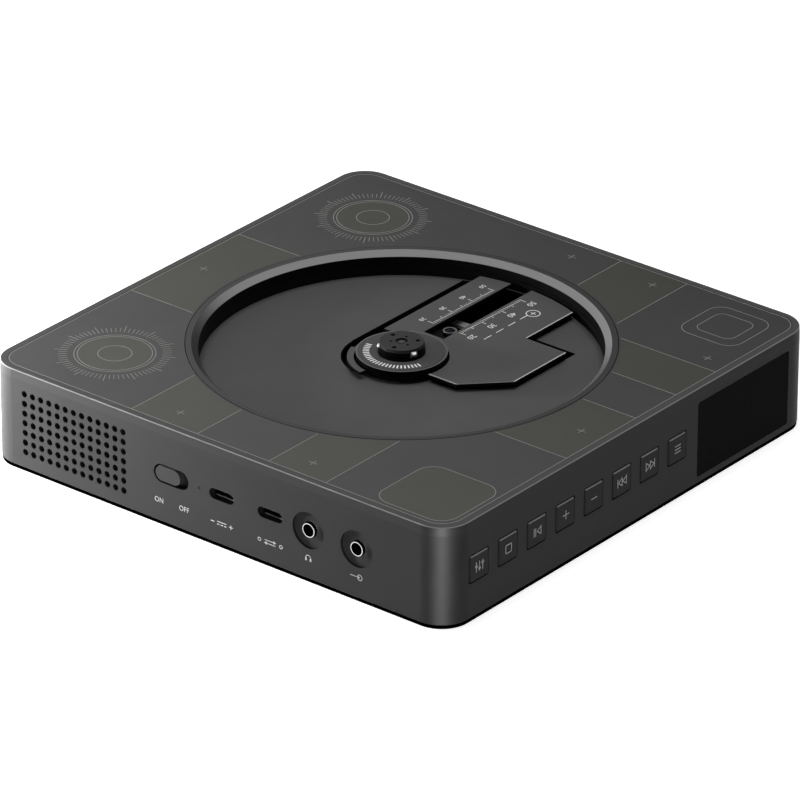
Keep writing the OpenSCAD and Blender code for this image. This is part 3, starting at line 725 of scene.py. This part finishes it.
class PLAYER_OT_cover(PlayerPiece, bpy.types.Operator):
    """Dress the mechanism cover with painted edge light and shade, and print its travel scales"""

    bl_idname = "player.cover"
    bl_label = "Mechanism cover"

    # Painted highlights along edges: start and end along X, start and end along Y, grey
    EDGE_HIGHLIGHTS = (
        (37.25, 37.8, 8.2, 34.2, 185), (21.65, 22.2, 34.2, 58, 180), (9, 25.2, -4.6, -3.95, 158),
    )
    # The slanted edge's painted highlight: its X less its Y, and the width of its strip
    CHAMFER = (29.5, 0.4)
    # The scales: start along Y, steps, ticks by tens, fives and ones, and where ticks stand
    SCALE_START = 24
    SCALE_STEPS = 31
    TICK_LENGTHS = (2.6, 1.7, 1.0)
    SCALE_FEET = ((3.6, 1), (-6.4, -1))
    NUMBERS = ((8.4, 2.2), (-11.2, 1.7))
    DASH_ROW = 12.4
    TARGET = (-49, 13)
    STROKE = 0.3

    def execute(self, context):
        settings = context.scene.player_case
        colour = scaled(settings.tray_colour, 0.97)
        sheet = moulded("cover paint", colour, grain=0.2, depth=0.003, specular=0.06)
        x, y, _ = sheet.parts()
        for x0, x1, y0, y1, level in self.EDGE_HIGHLIGHTS:
            across = sheet.both(sheet.greater(x, x0), sheet.less(x, x1))
            along = sheet.both(sheet.greater(y, y0), sheet.less(y, y1))
            sheet.paint(sheet.both(across, along), grey(level))
        slant, width = self.CHAMFER
        sheet.paint(sheet.greater(sheet.sum("SUBTRACT", x, y), slant - width), grey(118))
        # Painted shade: the cover's upright sides black
        sheet.paint(sheet.steep(2), BLACK)
        dress(sheet, "mech_cover")
        self.scales(context.scene.player_details.sign_colour)
        return {"FINISHED"}

    def scales(self, colour):
        """A scale of the pickup's travel on each side of the slot, numbered in tens."""
        marks = Print((0, 0, COVER_TOP), (0, -1, 0), (1, 0, 0))
        tens, fives, ones = self.TICK_LENGTHS
        for step in range(self.SCALE_STEPS):
            y = self.SCALE_START + step
            length = tens if step % 10 == 0 else fives if step % 5 == 0 else ones
            for foot, way in self.SCALE_FEET:
                marks.bar(-y, foot + way * length / 2, 0.22, length)
            if step % 10 == 0:
                for row, height in self.NUMBERS:
                    marks.words(str(step + 20), height, -y, row)
        for dash in range(4):
            marks.bar(-self.SCALE_START - 3 - 6 * dash, self.DASH_ROW, 3.6, self.STROKE)
        marks.arc(*self.TARGET, 2.2, self.STROKE, steps=32)
        marks.bar(*self.TARGET, 2.0, self.STROKE)
        marks.bar(*self.TARGET, self.STROKE, 2.0)
        ink = printed("white ink", colour)
        marks.piece("cover_scales", ink, "case", "tray")


class PLAYER_OT_turntable(PlayerPiece, bpy.types.Operator):
    """Dress the turntable, its pad, claws, shaft and motor"""

    bl_idname = "player.turntable"
    bl_label = "Turntable"

    HUB_RADIUS = 7.45
    HUB_TOP = CASE_TOP - 1.0
    # Inner and outer radius of the lip's painted highlight, and how far it lies under the pad's top
    LIP = (13.9, 14.17)
    LIP_DROP = 0.6
    # The arc of ticks: its ends, outer radius, and the ticks' length and width
    ARC = (math.radians(-165), math.radians(-16))
    TICK = (12.0, 2.0, 0.5)

    def execute(self, context):
        details = context.scene.player_details
        table = Finish("turntable plastic", grey(72), 0.3, specular=0.04)
        _, swept = table.polar(1.0, 0.0006)
        rings = table.noise(0.3, 2, swept)
        table.set("Base Color", table.mixed(rings, grey(68), grey(76)))
        radius, height = table.radius(), table.parts()[2]
        hub = table.less(radius, self.HUB_RADIUS)
        table.paint(hub, grey(46))
        table.paint(table.both(hub, table.less(height, self.HUB_TOP)), BLACK)
        highlight_start, highlight_end = self.LIP
        highlight_height = table.greater(height, PAD_TOP - self.LIP_DROP)
        # Painted highlight round the top of the table's lip
        table.paint(table.both(table.greater(radius, highlight_start), highlight_height), grey(112))
        table.paint(table.greater(radius, highlight_end), BLACK)
        table.rough(rings, 0.22, 0.38)
        table.bump(rings, 0.006)
        dress(table, "turntable")
        dress(rubber("pad rubber", grey(66)), "turntable_pad")
        dress(polished("bright metal", scaled(details.metal_colour, 1.2)), *CLAW_NODES)
        dress(polished("shaft steel", (0.05, 0.05, 0.05, 1), 0.3), "spindle_shaft")
        dress(brushed("motor can", STEEL, "Z"), "spindle_motor")
        marks = Print((0, 0, PAD_TOP), *ABOVE)
        share = (self.ARC[1] - self.ARC[0]) / FULL_TURN
        marks.ticks(0, 0, *self.TICK, round(details.strobe_ticks * share), *self.ARC)
        ink = printed("strobe ink", details.sign_colour)
        marks.piece("strobe_ring", ink, "rotor", "pad_rubber")
        return {"FINISHED"}


class PLAYER_OT_pickup(PlayerPiece, bpy.types.Operator):
    """Dress the chassis, sled, lens, rods and sled drive"""

    bl_idname = "player.pickup"
    bl_label = "Pickup"

    HOLDER_RIM = 28.0
    LEAF_START = 34.8
    COARSE = {"depth": 0.01, "specular": 0.02}
    FINE = {"grain": 0.2, "depth": 0.004, "specular": 0.02}
    COATED = {"grain": 0.3, "depth": 0.004, "specular": 0.05}

    def execute(self, context):
        dress(moulded("chassis plastic", grey(12), grain=0.4, **self.COARSE), "mech_chassis")
        dress(moulded("sled casting", grey(14), grain=0.3, **self.COARSE), "pickup_sled")
        holder = moulded("lens holder plastic", grey(12), **self.FINE)
        holder.paint(holder.beyond(2, self.HOLDER_RIM), grey(105))
        dress(holder, "lens_holder")
        yoke = moulded("actuator steel", grey(16), **self.COATED)
        yoke.paint(yoke.beyond(1, self.LEAF_START), grey(130))
        dress(yoke, "actuator_yoke")
        dress(moulded("coated magnets", grey(16), **self.COATED), "actuator_magnets")
        dress(brushed("gold can", (0.8, 0.55, 0.22, 1), "X", 0.25), "laser_diode")
        dress(polished("ground rod", (0.66, 0.66, 0.68, 1), 0.15), "guide_rods", "lead_screw")
        dress(brushed("stepper can", STEEL, "Y"), "sled_motor")
        lens = Finish("coated lens", grey(12), 0.06, specular=0.02)
        bloom = lens.noise(0.8, 2)
        shades = (0.003, 0.003, 0.006, 1), (0.006, 0.007, 0.012, 1)
        lens.set("Base Color", lens.mixed(bloom, *shades))
        lens.rough(bloom, 0.04, 0.1)
        lens.bump(bloom, 0.0004)
        dress(lens, "pickup_lens")
        return {"FINISHED"}


class PLAYER_OT_keys(PlayerPiece, bpy.types.Operator):
    """Dress the eight keys and print a sign on each"""

    bl_idname = "player.keys"
    bl_label = "Keys"

    STROKE = 0.34
    # The cap's hidden flange, the painted highlight strip above, and the depth of the cap's face
    FLANGE = 0.85
    STEP_IN = 0.27
    STEP_DEPTH = 0.38

    def execute(self, context):
        details = context.scene.player_details
        cap = moulded(
            "key plastic", details.key_colour, 0.55, grain=0.2, depth=0.004, specular=0.04
        )
        x, _, z = cap.parts()
        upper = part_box("key_play")[1].z / MM
        # Painted highlight on the cap's upper edge
        painted_highlight = cap.greater(z, upper - self.FLANGE - self.STEP_IN)
        cap.paint(painted_highlight, grey(165))
        # Painted shade: the cap black behind its face, in the gap
        cap.paint(cap.less(x, KEY_FACE - self.STEP_DEPTH), BLACK)
        ink = printed("key ink", details.sign_colour)
        for name in KEY_NAMES:
            node = "key_" + name
            dress(cap, node)
            low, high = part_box(node)
            middle = (low + high) / 2 / MM
            sign = Print((KEY_FACE, middle.y, middle.z), (0, -1, 0), (0, 0, -1))
            getattr(self, "draw_" + name)(sign)
            sign.piece(node + "_sign", ink, node, "key")
        dress(circuit_board("key board"), "button_board")
        dress(brushed("switch steel", (0.6, 0.6, 0.6, 1), "Y"), "tact_switches")
        return {"FINISHED"}

    def triangle(self, sign, u, way):
        """An outlined triangle pointing along way, its flat side at u."""
        points = [(u, -1.3), (u + way * 1.8, 0), (u, 1.3)]
        sign.line(points, self.STROKE, closed=True)

    def draw_eq(self, sign):
        for u, knob in ((-1.5, -0.7), (0, 0.8), (1.5, -0.2)):
            sign.bar(u, 0, self.STROKE, 3.4)
            sign.bar(u, knob, 1.1, 0.7)

    def draw_stop(self, sign):
        sign.line(rounded(-1.35, 1.35, -1.35, 1.35, 0.4, 4), self.STROKE, closed=True)

    def draw_play(self, sign):
        self.triangle(sign, -1.7, 1)
        for u in (0.85, 1.6):
            sign.bar(u, 0, self.STROKE, 2.9)

    def draw_plus(self, sign):
        sign.bar(0, 0, 3.0, self.STROKE)
        for middle in (0.835, -0.835):
            sign.bar(0, middle, self.STROKE, 1.33)

    def draw_minus(self, sign):
        sign.bar(0, 0, 2.8, self.STROKE)

    def draw_next(self, sign, way=1):
        for flat_side in (-2.0, 0.1):
            self.triangle(sign, flat_side * way, way)
        sign.bar(2.2 * way, 0, self.STROKE, 2.9)

    def draw_previous(self, sign):
        self.draw_next(sign, -1)

    def draw_menu(self, sign):
        for v in (-1.1, 0, 1.1):
            sign.bar(0, v, 2.9, self.STROKE)


class PLAYER_OT_screen(PlayerPiece, bpy.types.Operator):
    """Dress the smoked screen and the display behind it"""

    bl_idname = "player.screen"
    bl_label = "Screen"

    def execute(self, context):
        colour = context.scene.player_details.screen_colour
        glass = Finish("smoked glass", colour, 0.16, specular=0.01)
        smears = glass.noise(9, 5)
        glass.mottle(smears, 0.9, 1.1)
        glass.rough(smears, 0.1, 0.24)
        glass.bump(glass.noise(14, 1), 0.002)
        dress(glass, "screen_glass")
        dress(moulded("display frame", grey(30)), "display_module")
        return {"FINISHED"}


class PLAYER_OT_sockets(PlayerPiece, bpy.types.Operator):
    """Dress the switch, light and sockets, and print the marks beside them"""

    bl_idname = "player.sockets"
    bl_label = "Sockets"

    # Height of the signs' middle, and where along the side each stands
    BASELINE = 8.2
    WORDS = (("ON", -21), ("OFF", -11.05))
    SIGNS = (("power", 3.8), ("data", 22.75), ("headphone", 37.55), ("line", 56.05))
    STROKE = 0.26
    KNOB_FACE = 2
    SHELL_FRONT = 2.5
    SHELL_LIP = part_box("usb_data_socket")[0].z / MM + 0.42
    BARREL_FRONT = 0.3

    def execute(self, context):
        details = context.scene.player_details
        metal = details.metal_colour
        case = context.scene.player_case.case_colour
        knob = moulded("knob plastic", case, 0.55, grain=0.2, depth=0.004)
        # Painted shade: the knob black behind its front
        knob.paint(knob.beyond(1, PORT_FACE + self.KNOB_FACE), BLACK)
        dress(knob, "switch_knob")
        clear = Finish("clear moulding", grey(60), 0.2, specular=0.5)
        cloud = clear.noise(0.6, 3)
        clear.set("Base Color", clear.mixed(cloud, grey(30), grey(70)))
        clear.rough(cloud, 0.12, 0.3)
        dress(clear, "light_pipe")
        shell = brushed("socket steel", scaled(metal, 1.2), "X", 0.25)
        # Painted highlight on the front of the lower lip, painted shade in black behind and above
        # it
        behind = shell.beyond(1, PORT_FACE + self.SHELL_FRONT)
        unlit = shell.either(behind, shell.beyond(2, self.SHELL_LIP))
        shell.paint(shell.sum("SUBTRACT", 1.0, unlit), grey(235))
        shell.paint(unlit, BLACK)
        shell.set("Metallic", unlit)
        dress(shell, "usb_power_socket", "usb_data_socket")
        dress(brushed("switch frame", scaled(metal, 0.8), "X"), "switch_body")
        barrel = polished("jack metal", metal, 0.16)
        # Painted shade: the barrel black behind its front
        barrel.paint(barrel.beyond(1, PORT_FACE + self.BARREL_FRONT), BLACK)
        dress(barrel, "headphone_jack", "line_jack")
        dress(moulded("socket plastic", grey(20)), "usb_tongues", "jack_bodies")
        dress(circuit_board("socket board"), "io_board")
        self.marks(details)
        return {"FINISHED"}

    def marks(self, details):
        """Two words and four symbols in a row under the switch and sockets."""
        height = details.word_height / MM
        marks = Print((0, PORT_FACE, 0), (1, 0, 0), (0, 0, 1))
        for text, u in self.WORDS:
            marks.words(text, height, u, self.BASELINE, narrow=0.88)
        for name, u in self.SIGNS:
            getattr(self, name + "_sign")(marks, u, self.BASELINE, height)
        ink = printed("socket ink", details.sign_colour)
        marks.piece("socket_marks", ink, "case", "case")

    def power_sign(self, marks, u, v, height):
        """A full line over three dashes, for a steady current, between a plus and a minus."""
        marks.bar(u, v + 0.45, 3.6, self.STROKE)
        for i in (-1, 0, 1):
            marks.bar(u + i * 1.35, v - 0.45, 0.9, self.STROKE)
        marks.bar(u - 3.6, v, height * 0.8, self.STROKE)
        marks.bar(u + 3.6, v, height * 0.8, self.STROKE)
        marks.bar(u + 3.6, v, self.STROKE, height * 0.8)

    def data_sign(self, marks, u, v, height):
        """Two arrows that pass each other."""
        for side in (-1, 1):
            row, tip = v + side * 0.5, u + side * 2.4
            marks.bar(u, row, 4.2, self.STROKE)
            foot = tip - side * 1.1
            marks.polygon([(tip, row), (foot, row + 0.55), (foot, row - 0.55)])
            marks.arc(u + side * 4.2, v, height * 0.3, self.STROKE, steps=20)

    def headphone_sign(self, marks, u, v, _):
        """A band over two ear pads."""
        marks.arc(u, v - 0.1, 0.95, 0.24, 0, math.pi, 16)
        for side in (-1, 1):
            pad = u + side * 0.88
            marks.polygon(rounded(pad - 0.33, pad + 0.33, v - 1.1, v - 0.05, 0.2, 3))

    def line_sign(self, marks, u, v, height):
        """An arrow that runs into an open ring."""
        marks.arc(u + 1.3, v, height / 2, self.STROKE, math.pi * 1.2, math.pi * 2.8, 24)
        marks.bar(u - 0.9, v, 3.0, self.STROKE)
        marks.polygon([(u + 1.5, v), (u + 0.5, v + 0.6), (u + 0.5, v - 0.6)])


class PLAYER_OT_speaker(PlayerPiece, bpy.types.Operator):
    """Dress the speaker and the cloth behind its grille"""

    bl_idname = "player.speaker"
    bl_label = "Speaker"

    def execute(self, context):
        cloth = Finish("grille cloth", grey(5), 0.9, specular=0.0)
        inputs = {"Vector": cloth.place, "Scale": 5000}
        weave = cloth.wired("ShaderNodeTexChecker", "Fac", inputs)
        cloth.set("Base Color", cloth.mixed(weave, grey(3), grey(8)))
        cloth.bump(weave, 0.05)
        dress(cloth, "grille_cloth")
        dress(moulded("speaker frame plastic", grey(30), 0.55), "speaker_frame")
        dress(moulded("pressed card", grey(28), 0.8, grain=0.5, depth=0.03), "speaker_cone")
        dress(brushed("magnet steel", (0.5, 0.5, 0.5, 1), "Y"), "speaker_magnet")
        return {"FINISHED"}


class PLAYER_OT_electronics(PlayerPiece, bpy.types.Operator):
    """Dress the boards, battery, cables and connectors"""

    bl_idname = "player.electronics"
    bl_label = "Electronics"

    def execute(self, context):
        dress(circuit_board("main board mask"), "main_board")
        dress(moulded("chip package", grey(24), 0.6, grain=0.3), "board_chips")
        foil = brushed("battery foil", (0.62, 0.63, 0.65, 1), "Y", roughness=0.4, line=0.6)
        dress(foil, "battery")
        film = moulded("cable film", grey(205), 0.4, grain=1.0, depth=0.004)
        inputs = {"Vector": film.stretched(0, 1, 0), "Scale": 320}
        ribs = film.wired("ShaderNodeTexWave", "Fac", inputs)
        film.set("Base Color", film.mixed(ribs, grey(150), grey(215)))
        dress(film, "flat_cables")
        dress(moulded("nylon", grey(218, 22)), "board_connectors")
        return {"FINISHED"}


class PLAYER_OT_stage(PlayerPiece, bpy.types.Operator):
    """Set up the pale floor, the soft lamps and the camera"""

    bl_idname = "player.stage"
    bl_label = "Stage"

    CAMERA_PLACE = (1.259983, -1.557836, 1.031631)
    CAMERA_RIGHT = (0.776592, 0.630000, 0.002412)
    CAMERA_UP = (-0.287127, 0.350524, 0.891454)
    # How pale the floor is to the lamps, how it glows to the eye, and its painted shadow under the
    # case
    BOUNCE = 0.08
    GLOW = 0.5
    SLIT = 0.2
    FLOOR_REACH = 12
    # The dark card's two ends and its height, in metres
    FLAG = ((-0.26, 0.35), (0.07, 0.39), 0.24)
    DAYLIGHT_ANGLE = math.radians(44)
    # Place, aim, width and height of each lamp, in metres
    SIDE = ((-0.24, -0.155, 0.05), (-0.08, -0.09, 0.02), 0.08, 0.08)
    KEY_SIDE = ((0.5, 0.45, 0.3), (0.09, 0, 0.02), 0.2, 0.2)
    CORNER = ((0.40, -0.48, 0.017), (0.083, -0.083, 0.017), 0.14, 0.03)

    def seen_directly(self, tree):
        """1 for rays from the camera, a reflection or through glass, and 0 for the rest."""
        path = tree.nodes.new("ShaderNodeLightPath")
        total = path.outputs["Is Camera Ray"]
        for name in ("Is Glossy Ray", "Is Transmission Ray"):
            node = tree.nodes.new("ShaderNodeMath")
            node.operation = "MAXIMUM"
            tree.links.new(total, node.inputs[0])
            tree.links.new(path.outputs[name], node.inputs[1])
            total = node.outputs[0]
        return total

    def card(self, name, corners, finish):
        """A flat piece with four corners."""
        mesh = bpy.data.meshes.new(name)
        mesh.from_pydata(corners, [], [(0, 1, 2, 3)])
        mesh.materials.append(finish.material)
        return place_in_scene(name, mesh)

    def floor(self):
        """The pale ground, with a painted black shadow in the gap under the case."""
        paper = Finish("pale floor", grey(250), 0.9, specular=0.0)
        seen = self.seen_directly(paper.tree)
        fibres = paper.noise(3, 4)
        pale = paper.mixed(fibres, (0.95, 0.95, 0.95, 1), (0.98, 0.98, 0.98, 1))
        paper.set("Base Color", paper.mixed(seen, (self.BOUNCE,) * 3 + (1,), pale))
        paper.set("Emission Color", (1, 1, 1, 1))
        depth = paper.depth_inside(CASE_HALF, CORNER_RADIUS)
        outside = paper.less(depth, self.SLIT)
        paper.set("Emission Strength", paper.sum("MULTIPLY", paper.both(seen, outside), self.GLOW))
        # Painted shadow: black under the case, seen through the gap
        paper.paint(paper.greater(depth, self.SLIT), BLACK)
        reach = self.FLOOR_REACH
        ends = ((-reach, -reach, 0), (reach, -reach, 0), (reach, reach, 0), (-reach, reach, 0))
        floor = self.card("floor", ends, paper)

    def flag(self):
        """A dark card beyond the far side, seen only as a shade in the metal ring."""
        felt = Finish("black felt", BLACK, 0.9, specular=0.0)
        felt.set("Base Color", felt.mixed(felt.noise(2, 3), BLACK, grey(8)))
        (x0, y0), (x1, y1), height = self.FLAG
        edge = ((x0, y0, 0), (x1, y1, 0), (x1, y1, height), (x0, y0, height))
        flag = self.card("flag", edge, felt)
        for ray in ("camera", "diffuse", "shadow", "transmission"):
            setattr(flag, "visible_" + ray, False)

    def world(self, strength):
        world = bpy.data.worlds.new("studio")
        world.use_nodes = True
        tree = world.node_tree
        back = tree.nodes["Background"]
        node = tree.nodes.new("ShaderNodeMapRange")
        tree.links.new(self.seen_directly(tree), node.inputs["Value"])
        node.inputs["To Min"].default_value = strength
        node.inputs["To Max"].default_value = 1.0
        back.inputs["Color"].default_value = (1, 1, 1, 1)
        tree.links.new(node.outputs["Result"], back.inputs["Strength"])
        bpy.context.scene.world = world

    def daylight(self, strength):
        light = bpy.data.lights.new("daylight", "SUN")
        light.energy = strength
        light.angle = self.DAYLIGHT_ANGLE
        place_in_scene("daylight", light).visible_glossy = False

    def lamp(self, name, power, place, aim, width, height):
        """An area lamp at a place in metres, facing another."""
        light = bpy.data.lights.new(name, "AREA")
        light.shape = "RECTANGLE"
        light.energy = power
        light.size, light.size_y = width, height
        lamp = place_in_scene(name, light)
        lamp.location = place
        lamp.rotation_euler = (Vector(aim) - Vector(place)).to_track_quat("-Z", "Y").to_euler()
        return lamp

    def camera(self, focal_length):
        data = bpy.data.cameras.new("camera")
        data.lens = focal_length
        data.sensor_width = 36
        data.clip_end = 50
        camera = place_in_scene("camera", data)
        right, up = Vector(self.CAMERA_RIGHT), Vector(self.CAMERA_UP)
        turn = Matrix((right, up, right.cross(up))).transposed().to_4x4()
        camera.matrix_world = Matrix.Translation(self.CAMERA_PLACE) @ turn
        bpy.context.scene.camera = camera

    def execute(self, context):
        settings = context.scene.player_stage
        self.floor()
        self.flag()
        self.world(settings.surround)
        self.daylight(settings.daylight)
        self.lamp("side", settings.side_power, *self.SIDE)
        self.lamp("key_side", settings.key_power, *self.KEY_SIDE)
        self.lamp("corner", settings.corner_power, *self.CORNER).visible_diffuse = False
        self.camera(settings.focal_length)
        context.scene.view_settings.view_transform = "Standard"
        return {"FINISHED"}


class PLAYER_PT_looks(bpy.types.Panel):
    """Lists the player's settings and steps"""

    bl_label = "Disc player"
    bl_space_type = "VIEW_3D"
    bl_region_type = "UI"
    bl_category = "Player"

    def draw(self, context):
        for name in SETTINGS:
            group, box = getattr(context.scene, name), self.layout.box()
            for key in group.__annotations__:
                box.prop(group, key)
        for step in STEPS:
            self.layout.operator(step.bl_idname)


STEPS = (
    PLAYER_OT_case, PLAYER_OT_panel, PLAYER_OT_well, PLAYER_OT_cover, PLAYER_OT_turntable,
    PLAYER_OT_pickup, PLAYER_OT_keys, PLAYER_OT_screen, PLAYER_OT_sockets, PLAYER_OT_speaker,
    PLAYER_OT_electronics, PLAYER_OT_stage,
)
SETTINGS = {
    "player_case": PlayerCaseSettings,
    "player_details": PlayerDetailSettings,
    "player_stage": PlayerStageSettings,
}


CLASSES = (*SETTINGS.values(), *STEPS, PLAYER_PT_looks)


def register():
    for kind in CLASSES:
        bpy.utils.register_class(kind)
    for name, group in SETTINGS.items():
        setattr(bpy.types.Scene, name, PointerProperty(type=group))


def unregister():
    for name in SETTINGS:
        delattr(bpy.types.Scene, name)
    for kind in reversed(CLASSES):
        bpy.utils.unregister_class(kind)


def corners(bounds):
    return [[float(value) for value in corner] for corner in bounds]


def main():
    register()
    for step in STEPS:
        group, name = step.bl_idname.split(".")
        getattr(getattr(bpy.ops, group), name)()


if __name__ == "__main__":
    main()
